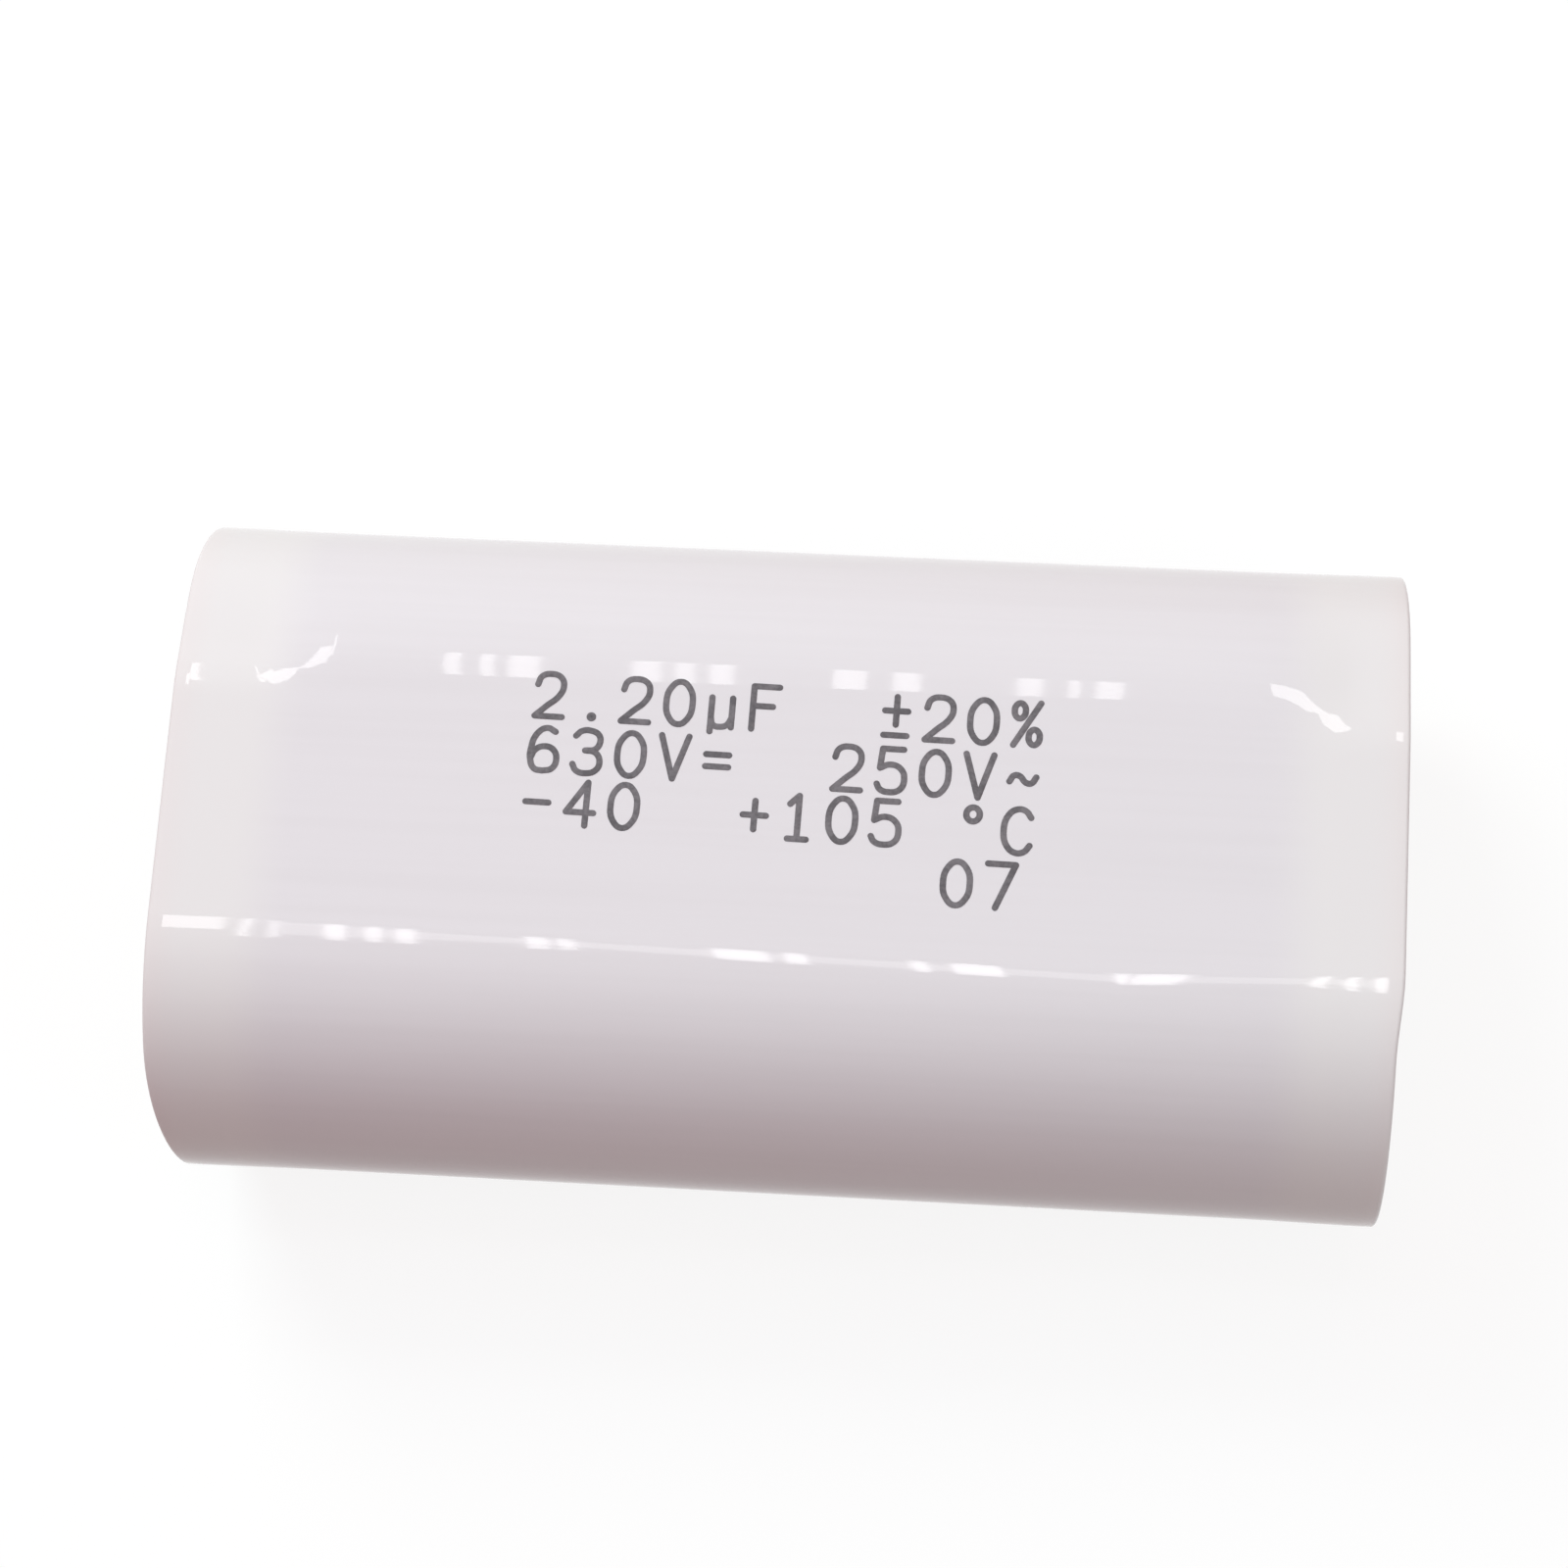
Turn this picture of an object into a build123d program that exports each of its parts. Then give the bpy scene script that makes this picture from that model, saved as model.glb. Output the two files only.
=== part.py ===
"""Axial film capacitor of the wrap-and-fill kind, with a pressed flat oval section.

A roll of metallized film is pressed flat, sprayed with metal on both ends, fitted with a lead at each
end, wrapped in glossy tape and sealed with resin at both ends of the sleeve.

Frame: X along the body from the left end to the right end, Y across it from front to back, Z up.
The origin is on the underside, below the middle of the body. Lengths are in millimetres.
"""
from build123d import *

import os
from dataclasses import dataclass
from math import atan2, cos, hypot, pi, sin, sqrt

# Body, and how far each round side stands out from the flats, as a share of the thickness
BODY_LENGTH = 46.0
BODY_WIDTH = 25.0
BODY_THICKNESS = 15.4
CREASE_RADIUS = 1.6
SHOULDER_SHARE = 0.461

# Rims, where the tape overhangs the winding, pulls in at the sides and relaxes into a rounder section
OVERHANG = 4.5
RIM_PULL = 0.3
RIM_CREASE_RADIUS = 3.4
RIM_SHOULDER_SHARE = 0.494

# Tape sleeve, with the free edge of its last turn on the back of the body
WRAP_WALL = 0.5
TAPE_THICKNESS = 0.08
LAP_TURN = 125.0

# Winding, with the slit that its winding mandrel left
SLIT_WIDTH = 8.0
SLIT_HEIGHT = 0.3

# Metal sprayed on both ends of the winding
SPRAY_THICKNESS = 0.5

# Leads: round wire, pressed flat where it is soldered on
LEAD_RADIUS = 0.6
FOOT_WIDTH = 1.8
FOOT_THICKNESS = 0.63
FOOT_COVER = 0.1

# Solder fillets
SOLDER_BASE_RADIUS = 2.3
SOLDER_TOP_RADIUS = 1.0
SOLDER_HEIGHT = 1.3

# Resin fills, lowest in the middle and climbing the tape at the edge
FILL_RECESS = 1.2
MENISCUS_RISE = 0.5
MENISCUS_WIDTH = 1.7

# Where the sections between the winding and the rim lie, and how far each has relaxed
BLEND_PLACE_SHARES = (0.0, 0.33, 0.67, 1.0)
BLEND_RELAX_SHARES = (0.0, 0.25, 0.75, 1.0)

# The curve of the resin from the dish to the tape: how far out, and how far up
MENISCUS_OUT_SHARES = (0.0, 0.55, 0.98)
MENISCUS_UP_SHARES = (0.0, 0.22, 1.0)

MIDDLE_HEIGHT = BODY_THICKNESS / 2
RIM_PLACE = BODY_LENGTH / 2
SPRAY_END = RIM_PLACE - OVERHANG
WINDING_END = SPRAY_END - SPRAY_THICKNESS
WINDING_LENGTH = 2 * WINDING_END
FILL_PLACE = RIM_PLACE - FILL_RECESS

SIDES = {"left": -1, "right": 1}


@dataclass(frozen=True)
class Oval:
    """Flat oval section: two flats, two round sides, and a small crease arc between each flat and side.

    Its points are measured from the middle of the body, back along the first axis and up along the second.
    """

    width: float
    thickness: float
    shoulder: float
    crease: float

    @property
    def flat(self) -> float:
        """Width of a flat."""
        return self.width - 2 * self.shoulder

    def inset(self, depth: float) -> "Oval":
        """The same section, smaller by a depth all round."""
        return Oval(
            self.width - 2 * depth,
            self.thickness - 2 * depth,
            self.shoulder - depth,
            self.crease - depth,
        )

    def relaxed(self, other: "Oval", share: float) -> "Oval":
        """The section that lies a share of the way from this one to another."""
        return Oval(
            self.width + share * (other.width - self.width),
            self.thickness + share * (other.thickness - self.thickness),
            self.shoulder + share * (other.shoulder - self.shoulder),
            self.crease + share * (other.crease - self.crease),
        )

    @property
    def side_radius(self) -> float:
        """Radius of the round side that touches the crease arcs and the full width."""
        half = self.thickness / 2
        return (self.shoulder**2 + half**2 - 2 * half * self.crease) / (2 * (self.shoulder - self.crease))

    @property
    def side_centre(self) -> float:
        """How far behind the middle the back side's centre lies."""
        return self.width / 2 - self.side_radius

    @property
    def lean(self) -> float:
        """Angle that a crease arc turns through, in radians."""
        return atan2(self.flat / 2 - self.side_centre, self.thickness / 2 - self.crease)

    def crease_arc(self, back: int, top: int) -> list[Vector]:
        """Three points of a crease arc, from the flat's edge to the round side."""
        centre_up = self.thickness / 2 - self.crease
        return [
            Vector(
                back * (self.flat / 2 + self.crease * sin(turn)),
                top * (centre_up + self.crease * cos(turn)),
            )
            for turn in (0, self.lean / 2, self.lean)
        ]

    def side_point(self, turn: float, back: int, proud: float = 0.0) -> Vector:
        """Point of a round side by its turn from straight up, or a point that stands proud of it."""
        reach = self.side_radius + proud
        return Vector(back * (self.side_centre + reach * sin(turn)), reach * cos(turn))

    def side_arc(self, first: float, last: float, back: int) -> Curve:
        """Arc of a round side from one turn to another."""
        turns = (first, (first + last) / 2, last)
        return ThreePointArc(*[self.side_point(turn, back) for turn in turns])

    def tape_edge(self, lap: float) -> list[Curve]:
        """Back side that rises slowly to the tape's free edge and steps down behind it.

        Args:
            lap: How far the free edge stands proud of the turn below.

        Returns:
            The last turn of tape, its free edge, and the rest of the side, from the top down.
        """
        last = LAP_TURN * pi / 180
        middle = (self.lean + last) / 2
        shift = lap / (1 - cos(last - self.lean))
        wide = self.side_radius + shift

        def last_turn(turn: float) -> Vector:
            """Point of the last turn of tape, on a wider circle that leaves the side at the crease."""
            swing = turn - self.lean
            reach = sqrt(wide**2 - (shift * sin(swing)) ** 2) - shift * cos(swing)
            return self.side_point(turn, 1, reach - self.side_radius)

        return [
            ThreePointArc(self.side_point(self.lean, 1), last_turn(middle), last_turn(last)),
            Line(last_turn(last), self.side_point(last, 1)),
            self.side_arc(last, pi - self.lean, 1),
        ]

    def face(self, place: float, lap: float = 0.0) -> Face:
        """Face of the section across X.

        Args:
            place: Where the section stands along X.
            lap: How far the tape's free edge stands proud on the back, or zero for none.

        Returns:
            The face, round the middle of the body.
        """
        top_back, low_back, top_front, low_front = [
            self.crease_arc(back, top) for back in (1, -1) for top in (1, -1)
        ]
        back = self.tape_edge(lap) if lap else [self.side_arc(self.lean, pi - self.lean, 1)]
        curves = [
            Line(top_front[0], top_back[0]),
            ThreePointArc(*top_back),
            *back,
            ThreePointArc(*reversed(low_back)),
            Line(low_back[0], low_front[0]),
            ThreePointArc(*low_front),
            self.side_arc(pi - self.lean, self.lean, -1),
            ThreePointArc(*reversed(top_front)),
        ]
        outline = Wire([edge for curve in curves for edge in curve.edges()])
        return Plane.YZ.offset(place) * Pos(0, MIDDLE_HEIGHT) * Face(outline)


BODY = Oval(BODY_WIDTH, BODY_THICKNESS, SHOULDER_SHARE * BODY_THICKNESS, CREASE_RADIUS)
RIM = Oval(
    BODY_WIDTH - 2 * RIM_PULL,
    BODY_THICKNESS,
    RIM_SHOULDER_SHARE * BODY_THICKNESS,
    RIM_CREASE_RADIUS,
)


def slab(face: Face, length: float) -> Part:
    """A straight piece that runs along +X from a face."""
    return extrude(face, amount=length, dir=(1, 0, 0))


def overhang(depth: float, hand: int, lap: float = 0.0) -> Part:
    """The end of the body past the sprayed metal, down to a depth below the tape's surface."""
    reach = RIM_PLACE - SPRAY_END
    sections = [
        BODY.relaxed(RIM, relax).inset(depth).face(hand * (SPRAY_END + place * reach), lap)
        for place, relax in zip(BLEND_PLACE_SHARES, BLEND_RELAX_SHARES)
    ]
    return loft(sections)


def whole_body(depth: float, lap: float = 0.0) -> Part:
    """The whole body, down to a depth below the tape's surface."""
    middle = slab(BODY.inset(depth).face(-SPRAY_END, lap), 2 * SPRAY_END)
    return middle + [overhang(depth, hand, lap) for hand in SIDES.values()]


def outer_wrap() -> Part:
    """Tape sleeve, open at both ends."""
    return whole_body(0, TAPE_THICKNESS) - whole_body(WRAP_WALL)


def winding() -> Part:
    """Pressed film roll, with the slit of its mandrel along the middle."""
    roll = slab(BODY.inset(WRAP_WALL).face(-WINDING_END), WINDING_LENGTH)
    opening = Plane.YZ.offset(-WINDING_END) * Pos(0, MIDDLE_HEIGHT) * SlotOverall(SLIT_WIDTH, SLIT_HEIGHT)
    return roll - slab(opening.face(), WINDING_LENGTH)


def end_spray(hand: int) -> Part:
    """Sprayed metal over the whole end of the winding."""
    start = min(hand * WINDING_END, hand * SPRAY_END)
    return slab(BODY.inset(WRAP_WALL).face(start), SPRAY_THICKNESS)


def lead(hand: int) -> Part:
    """Round wire, cropped level with the rim, with a foot pressed flat from the sprayed metal outwards."""
    foot_end = FILL_PLACE - FOOT_COVER
    base = Plane((hand * SPRAY_END, 0, MIDDLE_HEIGHT), x_dir=(0, 1, 0), z_dir=(hand, 0, 0))
    foot = extrude(base * SlotOverall(FOOT_WIDTH, FOOT_THICKNESS), amount=foot_end - SPRAY_END)
    wire = extrude(base.offset(foot_end - SPRAY_END) * Circle(LEAD_RADIUS), amount=RIM_PLACE - foot_end)
    return foot + wire


def solder(hand: int) -> Part:
    """Hollow-sided fillet round the lead's foot."""
    side = Plane((hand * SPRAY_END, 0, MIDDLE_HEIGHT), x_dir=(0, 0, 1), z_dir=(0, hand, 0))
    low = Vector(SOLDER_BASE_RADIUS, 0)
    high = Vector(SOLDER_TOP_RADIUS, SOLDER_HEIGHT)
    chord = hypot(SOLDER_BASE_RADIUS - SOLDER_TOP_RADIUS, SOLDER_HEIGHT)
    outline = [
        Line((0, 0), low),
        RadiusArc(low, high, chord),
        Line(high, (0, SOLDER_HEIGHT)),
        Line((0, SOLDER_HEIGHT), (0, 0)),
    ]
    profile = make_face([edge for curve in outline for edge in curve.edges()])
    cone = revolve(side * profile, Axis((0, 0, MIDDLE_HEIGHT), (1, 0, 0)))
    return cone - lead(hand)


def dish(hand: int) -> Part:
    """The space over the resin: flat in the middle, and climbing to the tape at the edge."""
    edge = RIM.inset(WRAP_WALL)
    sections = [
        edge.inset(MENISCUS_WIDTH * (1 - out)).face(hand * (FILL_PLACE + MENISCUS_RISE * up))
        for out, up in zip(MENISCUS_OUT_SHARES, MENISCUS_UP_SHARES)
    ]
    return loft(sections)


def end_fill(hand: int) -> Part:
    """Resin plug between the sprayed metal and the rim, cast round the solder and the lead."""
    top = FILL_PLACE + MENISCUS_RISE
    room = Box(top - SPRAY_END, BODY_WIDTH, BODY_THICKNESS)
    room = Pos(hand * (SPRAY_END + top) / 2, 0, MIDDLE_HEIGHT) * room
    plug = overhang(WRAP_WALL, hand) & room
    return plug - dish(hand) - solder(hand) - lead(hand)


def main() -> None:
    """Build every piece and write one file for each."""
    nodes = {"outer_wrap": outer_wrap(), "winding": winding()}
    for name, hand in SIDES.items():
        nodes[f"end_spray_{name}"] = end_spray(hand)
        nodes[f"lead_{name}"] = lead(hand)
        nodes[f"solder_{name}"] = solder(hand)
        nodes[f"end_fill_{name}"] = end_fill(hand)
    os.makedirs("parts", exist_ok=True)
    for name, piece in nodes.items():
        export_step(piece, f"parts/{name}.step")


if __name__ == "__main__":
    main()
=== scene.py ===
"""Dressed film capacitor: a glossy tape sleeve, resin ends, cropped leads and a printed rating.

Every size in a class below is in millimetres and every angle in degrees, unless its comment says otherwise.
Meshes are in metres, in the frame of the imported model: X along the body, Y to the back, Z up.
"""
from __future__ import annotations

import logging
from dataclasses import dataclass, field
from enum import Enum
from functools import partial
from math import atan2, ceil, copysign, cos, degrees, exp, pi, radians, sin, tan
from typing import Callable, Sequence, Union

import bpy
from mathutils import Matrix, Vector, noise


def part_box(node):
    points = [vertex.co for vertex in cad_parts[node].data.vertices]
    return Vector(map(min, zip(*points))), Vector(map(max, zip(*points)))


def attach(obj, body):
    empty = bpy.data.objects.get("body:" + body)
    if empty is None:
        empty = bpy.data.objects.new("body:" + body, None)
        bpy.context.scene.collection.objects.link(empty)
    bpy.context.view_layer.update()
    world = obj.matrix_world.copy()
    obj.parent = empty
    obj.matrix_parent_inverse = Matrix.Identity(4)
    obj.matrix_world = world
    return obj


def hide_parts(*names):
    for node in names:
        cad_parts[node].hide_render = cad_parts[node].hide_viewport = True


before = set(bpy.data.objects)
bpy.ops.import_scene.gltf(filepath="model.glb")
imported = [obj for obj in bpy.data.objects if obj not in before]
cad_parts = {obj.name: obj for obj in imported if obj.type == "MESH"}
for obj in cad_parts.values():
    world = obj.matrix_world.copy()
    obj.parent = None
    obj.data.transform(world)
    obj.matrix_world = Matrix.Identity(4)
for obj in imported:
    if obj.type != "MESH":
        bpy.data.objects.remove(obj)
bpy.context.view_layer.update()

log = logging.getLogger("film_capacitor")

MM = 0.001
BODY = "root"
# Points of a mesh that lie closer than this, in metres, are one
WELD = 1e-7
WHITE = (1.0, 1.0, 1.0, 1.0)

Colour = tuple[float, float, float]
SocketValue = Union[float, Sequence[float], bpy.types.NodeSocket]
Lamps = tuple[tuple[float, float], ...]


def node_box(node: str) -> tuple[Vector, Vector]:
    """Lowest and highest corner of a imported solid, in millimetres."""
    low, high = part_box(node)
    return Vector(low) / MM, Vector(high) / MM


WRAP_LOW, WRAP_HIGH = node_box("outer_wrap")
HALF_LENGTH = WRAP_HIGH.x
BODY_WIDTH = -2 * WRAP_LOW.y
BODY_THICKNESS = WRAP_HIGH.z
MIDDLE_HEIGHT = BODY_THICKNESS / 2
FILL_BOTTOM = node_box("end_fill_right")[0].x
SOLDER_RADIUS = node_box("solder_right")[1].y
LEAD_LOW, LEAD_HIGH = node_box("lead_right")
LEAD_RADIUS = (LEAD_HIGH.z - LEAD_LOW.z) / 2


class End(Enum):
    """The two ends of the body."""

    LEFT = -1
    RIGHT = 1

    @property
    def hand(self) -> int:
        """Sign of the end's place along X."""
        return self.value

    def named(self, stem: str) -> str:
        """Name of this end's piece of a kind."""
        return f"{stem}_{self.name.lower()}"


def ease(share: float) -> float:
    """Smooth step from 0 to 1 as the share goes from 0 to 1."""
    held = min(max(share, 0.0), 1.0)
    return held * held * (3 - 2 * held)


def deselect_all() -> None:
    """Leave edit mode and let go of every object."""
    if bpy.context.object and bpy.context.object.mode != "OBJECT":
        bpy.ops.object.mode_set(mode="OBJECT")
    bpy.ops.object.select_all(action="DESELECT")


def take(piece: bpy.types.Object) -> None:
    """Select one object alone and make it active.

    Args:
        piece: The object.
    """
    deselect_all()
    piece.select_set(True)
    bpy.context.view_layer.objects.active = piece


def settle(name: str) -> bpy.types.Object:
    """Name the active object and its mesh, and put its place and size into the mesh.

    Args:
        name: Name of the piece.

    Returns:
        The active object, which now sits at the origin, unturned and unscaled.
    """
    piece = bpy.context.object
    piece.name = name
    piece.data.name = name
    bpy.ops.object.transform_apply(location=True, rotation=True, scale=True)
    return piece


def rolled_sheet(name: str, along: int, around: int) -> bpy.types.Object:
    """Flat grid that a piece is rolled from.

    Args:
        name: Name of the piece.
        along: Number of faces along the piece's own path.
        around: Number of faces round its outline.

    Returns:
        The grid object, one unit square, with its corner at the origin.
    """
    deselect_all()
    bpy.ops.mesh.primitive_grid_add(
        x_subdivisions=along, y_subdivisions=around, size=1, location=(0.5, 0.5, 0)
    )
    return settle(name)


def roll(sheet: bpy.types.Object, along: int, around: int, place: Callable[[int, int], Vector]) -> None:
    """Roll a grid into a closed ring-shaped piece, close its seams and turn its faces outwards.

    Args:
        sheet: The grid from rolled_sheet.
        along: Its number of faces along the path.
        around: Its number of faces round the outline.
        place: Place in millimetres of a step along the path and a column round the outline.
    """
    for vertex in sheet.data.vertices:
        step = round(vertex.co.x * along)
        column = round(vertex.co.y * around)
        vertex.co = place(step, column) * MM
    take(sheet)
    bpy.ops.object.mode_set(mode="EDIT")
    bpy.ops.mesh.select_all(action="SELECT")
    bpy.ops.mesh.remove_doubles(threshold=WELD)
    bpy.ops.mesh.normals_make_consistent(inside=False)
    bpy.ops.object.mode_set(mode="OBJECT")


def smooth(piece: bpy.types.Object, angle: float) -> None:
    """Shade a piece smooth, with hard edges past an angle."""
    take(piece)
    bpy.ops.object.shade_smooth_by_angle(angle=radians(angle))


def fit_out(piece: bpy.types.Object, slot: str, material: bpy.types.Material, *nodes: str) -> None:
    """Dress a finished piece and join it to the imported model.

    Args:
        piece: The finished object.
        slot: Name of the piece's material slot in the record; not used.
        material: Its material.
        nodes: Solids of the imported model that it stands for.
    """
    piece.data.materials.clear()
    piece.data.materials.append(material)
    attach(piece, BODY)
    if nodes:
        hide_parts(*nodes)
    log.info("%s: %d faces", piece.name, len(piece.data.polygons))


def rgba(colour: SocketValue) -> SocketValue:
    """Colour with full alpha, or the socket as it is."""
    return colour if isinstance(colour, bpy.types.NodeSocket) else (*colour, 1.0)


class Desk:
    """Adds nodes to one node tree and joins them."""

    # Numbers of the Mix node's sockets for two colours and for their blend
    FIRST_COLOUR = 6
    SECOND_COLOUR = 7
    BLENDED_COLOUR = 2

    def __init__(self, tree: bpy.types.NodeTree) -> None:
        """Start on a node tree."""
        self.tree = tree

    def add(
        self,
        kind: str,
        inputs: dict[Union[str, int], SocketValue] | None = None,
        **settings: Union[str, bool, bpy.types.NodeTree],
    ) -> bpy.types.Node:
        """Add a node.

        Args:
            kind: Blender's name of the node type.
            inputs: Sockets by name or number, each with a value or with the socket that feeds it.
            settings: Properties of the node itself.

        Returns:
            The new node.
        """
        node = self.tree.nodes.new(kind)
        for key, value in settings.items():
            setattr(node, key, value)
        for key, value in (inputs or {}).items():
            self.feed(node.inputs[key], value)
        return node

    def feed(self, socket: bpy.types.NodeSocket, value: SocketValue) -> None:
        """Set a socket, or join it to another.

        Args:
            socket: The input socket.
            value: A value, or the socket that feeds it.
        """
        if isinstance(value, bpy.types.NodeSocket):
            self.tree.links.new(value, socket)
        else:
            socket.default_value = value

    def math(self, operation: str, *values: SocketValue) -> bpy.types.NodeSocket:
        """Result of a math node."""
        return self.add("ShaderNodeMath", dict(enumerate(values)), operation=operation).outputs[0]

    def blend(self, share: SocketValue, first: SocketValue, second: SocketValue) -> bpy.types.NodeSocket:
        """Blend two colours.

        Args:
            share: How far the blend lies from the first colour to the second.
            first: The colour at 0.
            second: The colour at 1.

        Returns:
            The blended colour.
        """
        node = self.add("ShaderNodeMix", data_type="RGBA")
        self.feed(node.inputs["Factor"], share)
        self.feed(node.inputs[self.FIRST_COLOUR], rgba(first))
        self.feed(node.inputs[self.SECOND_COLOUR], rgba(second))
        return node.outputs[self.BLENDED_COLOUR]

    def span(
        self, value: SocketValue, low: float, high: float, first: float, last: float
    ) -> bpy.types.NodeSocket:
        """Map a value smoothly from one range to another, and hold it there.

        Args:
            value: The value.
            low: Where its own range starts.
            high: Where its own range ends.
            first: Result at the start.
            last: Result at the end.

        Returns:
            The mapped value.
        """
        inputs = {"Value": value, "From Min": low, "From Max": high, "To Min": first, "To Max": last}
        return self.add("ShaderNodeMapRange", inputs, interpolation_type="SMOOTHSTEP").outputs["Result"]


class Effects:
    """Shader node groups that several finishes share."""

    # Fine clouds to a coarse one, the part of the noise that makes up the clouds' range, and its middle
    FINE_CLOUDS = 7.0
    CLOUD_SPAN = (0.25, 0.75)
    MIDDLE = sum(CLOUD_SPAN) / 2

    def __init__(self) -> None:
        """Build each group once."""
        self.mottle = self.build_mottle()
        self.streaks = self.build_streaks()
        self.end_zone = self.build_end_zone()

    @staticmethod
    def start(
        name: str, inputs: dict[str, float], output: str
    ) -> tuple[Desk, bpy.types.Node, bpy.types.Node]:
        """Open a new group with a vector input, number inputs and one output.

        Args:
            name: Name of the group.
            inputs: Number inputs with their starting values.
            output: Name of the output.

        Returns:
            The desk, the group's input node and its output node.
        """
        tree = bpy.data.node_groups.new(name, "ShaderNodeTree")
        tree.interface.new_socket("Vector", in_out="INPUT", socket_type="NodeSocketVector")
        for key, value in inputs.items():
            socket = tree.interface.new_socket(key, in_out="INPUT", socket_type="NodeSocketFloat")
            socket.default_value = value
        tree.interface.new_socket(output, in_out="OUTPUT", socket_type="NodeSocketFloat")
        desk = Desk(tree)
        return desk, desk.add("NodeGroupInput"), desk.add("NodeGroupOutput")

    def build_mottle(self) -> bpy.types.NodeTree:
        """Cloudy share from 0 to 1, coarse and fine clouds together.

        Returns:
            The group.
        """
        desk, given, result = self.start("Mottle", {"Scale": 0.3, "Fine": 0.35}, "Share")
        place, scale, fine_share = (given.outputs[key] for key in ("Vector", "Scale", "Fine"))
        coarse = desk.add(
            "ShaderNodeTexNoise", {"Vector": place, "Scale": scale, "Detail": 3.0, "Roughness": 0.5}
        )
        fine_scale = desk.math("MULTIPLY", scale, self.FINE_CLOUDS)
        fine = desk.add(
            "ShaderNodeTexNoise", {"Vector": place, "Scale": fine_scale, "Detail": 2.0, "Roughness": 0.6}
        )
        lift = desk.math("MULTIPLY", desk.math("SUBTRACT", fine.outputs["Fac"], self.MIDDLE), fine_share)
        both = desk.math("ADD", coarse.outputs["Fac"], lift)
        desk.feed(result.inputs["Share"], desk.span(both, *self.CLOUD_SPAN, 0.0, 1.0))
        return desk.tree

    def build_streaks(self) -> bpy.types.NodeTree:
        """Height from 0 to 1 in long lines along X.

        Returns:
            The group.
        """
        desk, given, result = self.start("Streaks", {"Along": 0.05, "Across": 2.0}, "Height")
        across = given.outputs["Across"]
        stretch = desk.add("ShaderNodeCombineXYZ", {0: given.outputs["Along"], 1: across, 2: across})
        drawn = {0: given.outputs["Vector"], 1: stretch.outputs[0]}
        lines = desk.add("ShaderNodeVectorMath", drawn, operation="MULTIPLY")
        grain = desk.add(
            "ShaderNodeTexNoise",
            {"Vector": lines.outputs[0], "Scale": 1.0, "Detail": 4.0, "Roughness": 0.55},
        )
        desk.feed(result.inputs["Height"], grain.outputs["Fac"])
        return desk.tree

    def build_end_zone(self) -> bpy.types.NodeTree:
        """Mask that rises from 0 to 1 towards both ends of the body.

        Returns:
            The group.
        """
        desk, given, result = self.start("End zone", {"Start": 18.0, "Width": 2.0}, "Mask")
        axes = desk.add("ShaderNodeSeparateXYZ", {0: given.outputs["Vector"]})
        past = desk.math("SUBTRACT", desk.math("ABSOLUTE", axes.outputs[0]), given.outputs["Start"])
        share = desk.math("DIVIDE", past, given.outputs["Width"])
        desk.feed(result.inputs["Mask"], desk.span(share, 0.0, 1.0, 0.0, 1.0))
        return desk.tree


class Finish:
    """A material in the making: its desk, its shader and the shared effects placed in it."""

    def __init__(self, name: str, effects: Effects, **constants: SocketValue) -> None:
        """Open a material with one Principled shader.

        Args:
            name: Name of the material.
            effects: The shared node groups.
            constants: Sockets of the shader that are the same all over, with spaces written as underscores.
        """
        self.material = bpy.data.materials.new(name)
        self.material.use_nodes = True
        self.material.node_tree.nodes.clear()
        self.desk = Desk(self.material.node_tree)
        self.effects = effects
        self.shader = self.desk.add("ShaderNodeBsdfPrincipled")
        for key, value in constants.items():
            self.shader.inputs[key.replace("_", " ")].default_value = value
        self.desk.add("ShaderNodeOutputMaterial", {"Surface": self.shader.outputs[0]})
        coordinates = self.desk.add("ShaderNodeTexCoord").outputs["Object"]
        scaled = self.desk.add("ShaderNodeMapping", {"Vector": coordinates, "Scale": (1 / MM,) * 3})
        self.place = scaled.outputs["Vector"]

    def effect(self, group: bpy.types.NodeTree, **values: float) -> bpy.types.NodeSocket:
        """Place a shared effect over the surface.

        Args:
            group: The shared node group.
            values: Its number inputs, in millimetres.

        Returns:
            What the group puts out.
        """
        node = self.desk.add("ShaderNodeGroup", node_tree=group)
        self.desk.feed(node.inputs["Vector"], self.place)
        for key, value in values.items():
            node.inputs[key].default_value = value
        return node.outputs[0]

    def clouds(self, count: float, fine: float) -> bpy.types.NodeSocket:
        """Clouds from 0 to 1, by their number to a millimetre and the share of fine ones."""
        return self.effect(self.effects.mottle, Scale=count, Fine=fine)

    def lines(self, along: float, across: float) -> bpy.types.NodeSocket:
        """Lines along X from 0 to 1, by their number to a millimetre along and across."""
        return self.effect(self.effects.streaks, Along=along, Across=across)

    def zone(self, start: float, width: float) -> bpy.types.NodeSocket:
        """Mask of both ends, by where it starts along X and the length over which it rises."""
        return self.effect(self.effects.end_zone, Start=start, Width=width)

    def colour(self, value: SocketValue) -> None:
        """Feed the base colour."""
        self.desk.feed(self.shader.inputs["Base Color"], rgba(value))

    def roughness(self, value: SocketValue) -> None:
        """Feed the roughness."""
        self.desk.feed(self.shader.inputs["Roughness"], value)

    def bump(self, height: bpy.types.NodeSocket, depth: float) -> None:
        """Raise the surface by a height, as deep as a number of millimetres."""
        node = self.desk.add("ShaderNodeBump", {"Height": height, "Strength": 1.0, "Distance": depth * MM})
        self.desk.feed(self.shader.inputs["Normal"], node.outputs[0])


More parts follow.
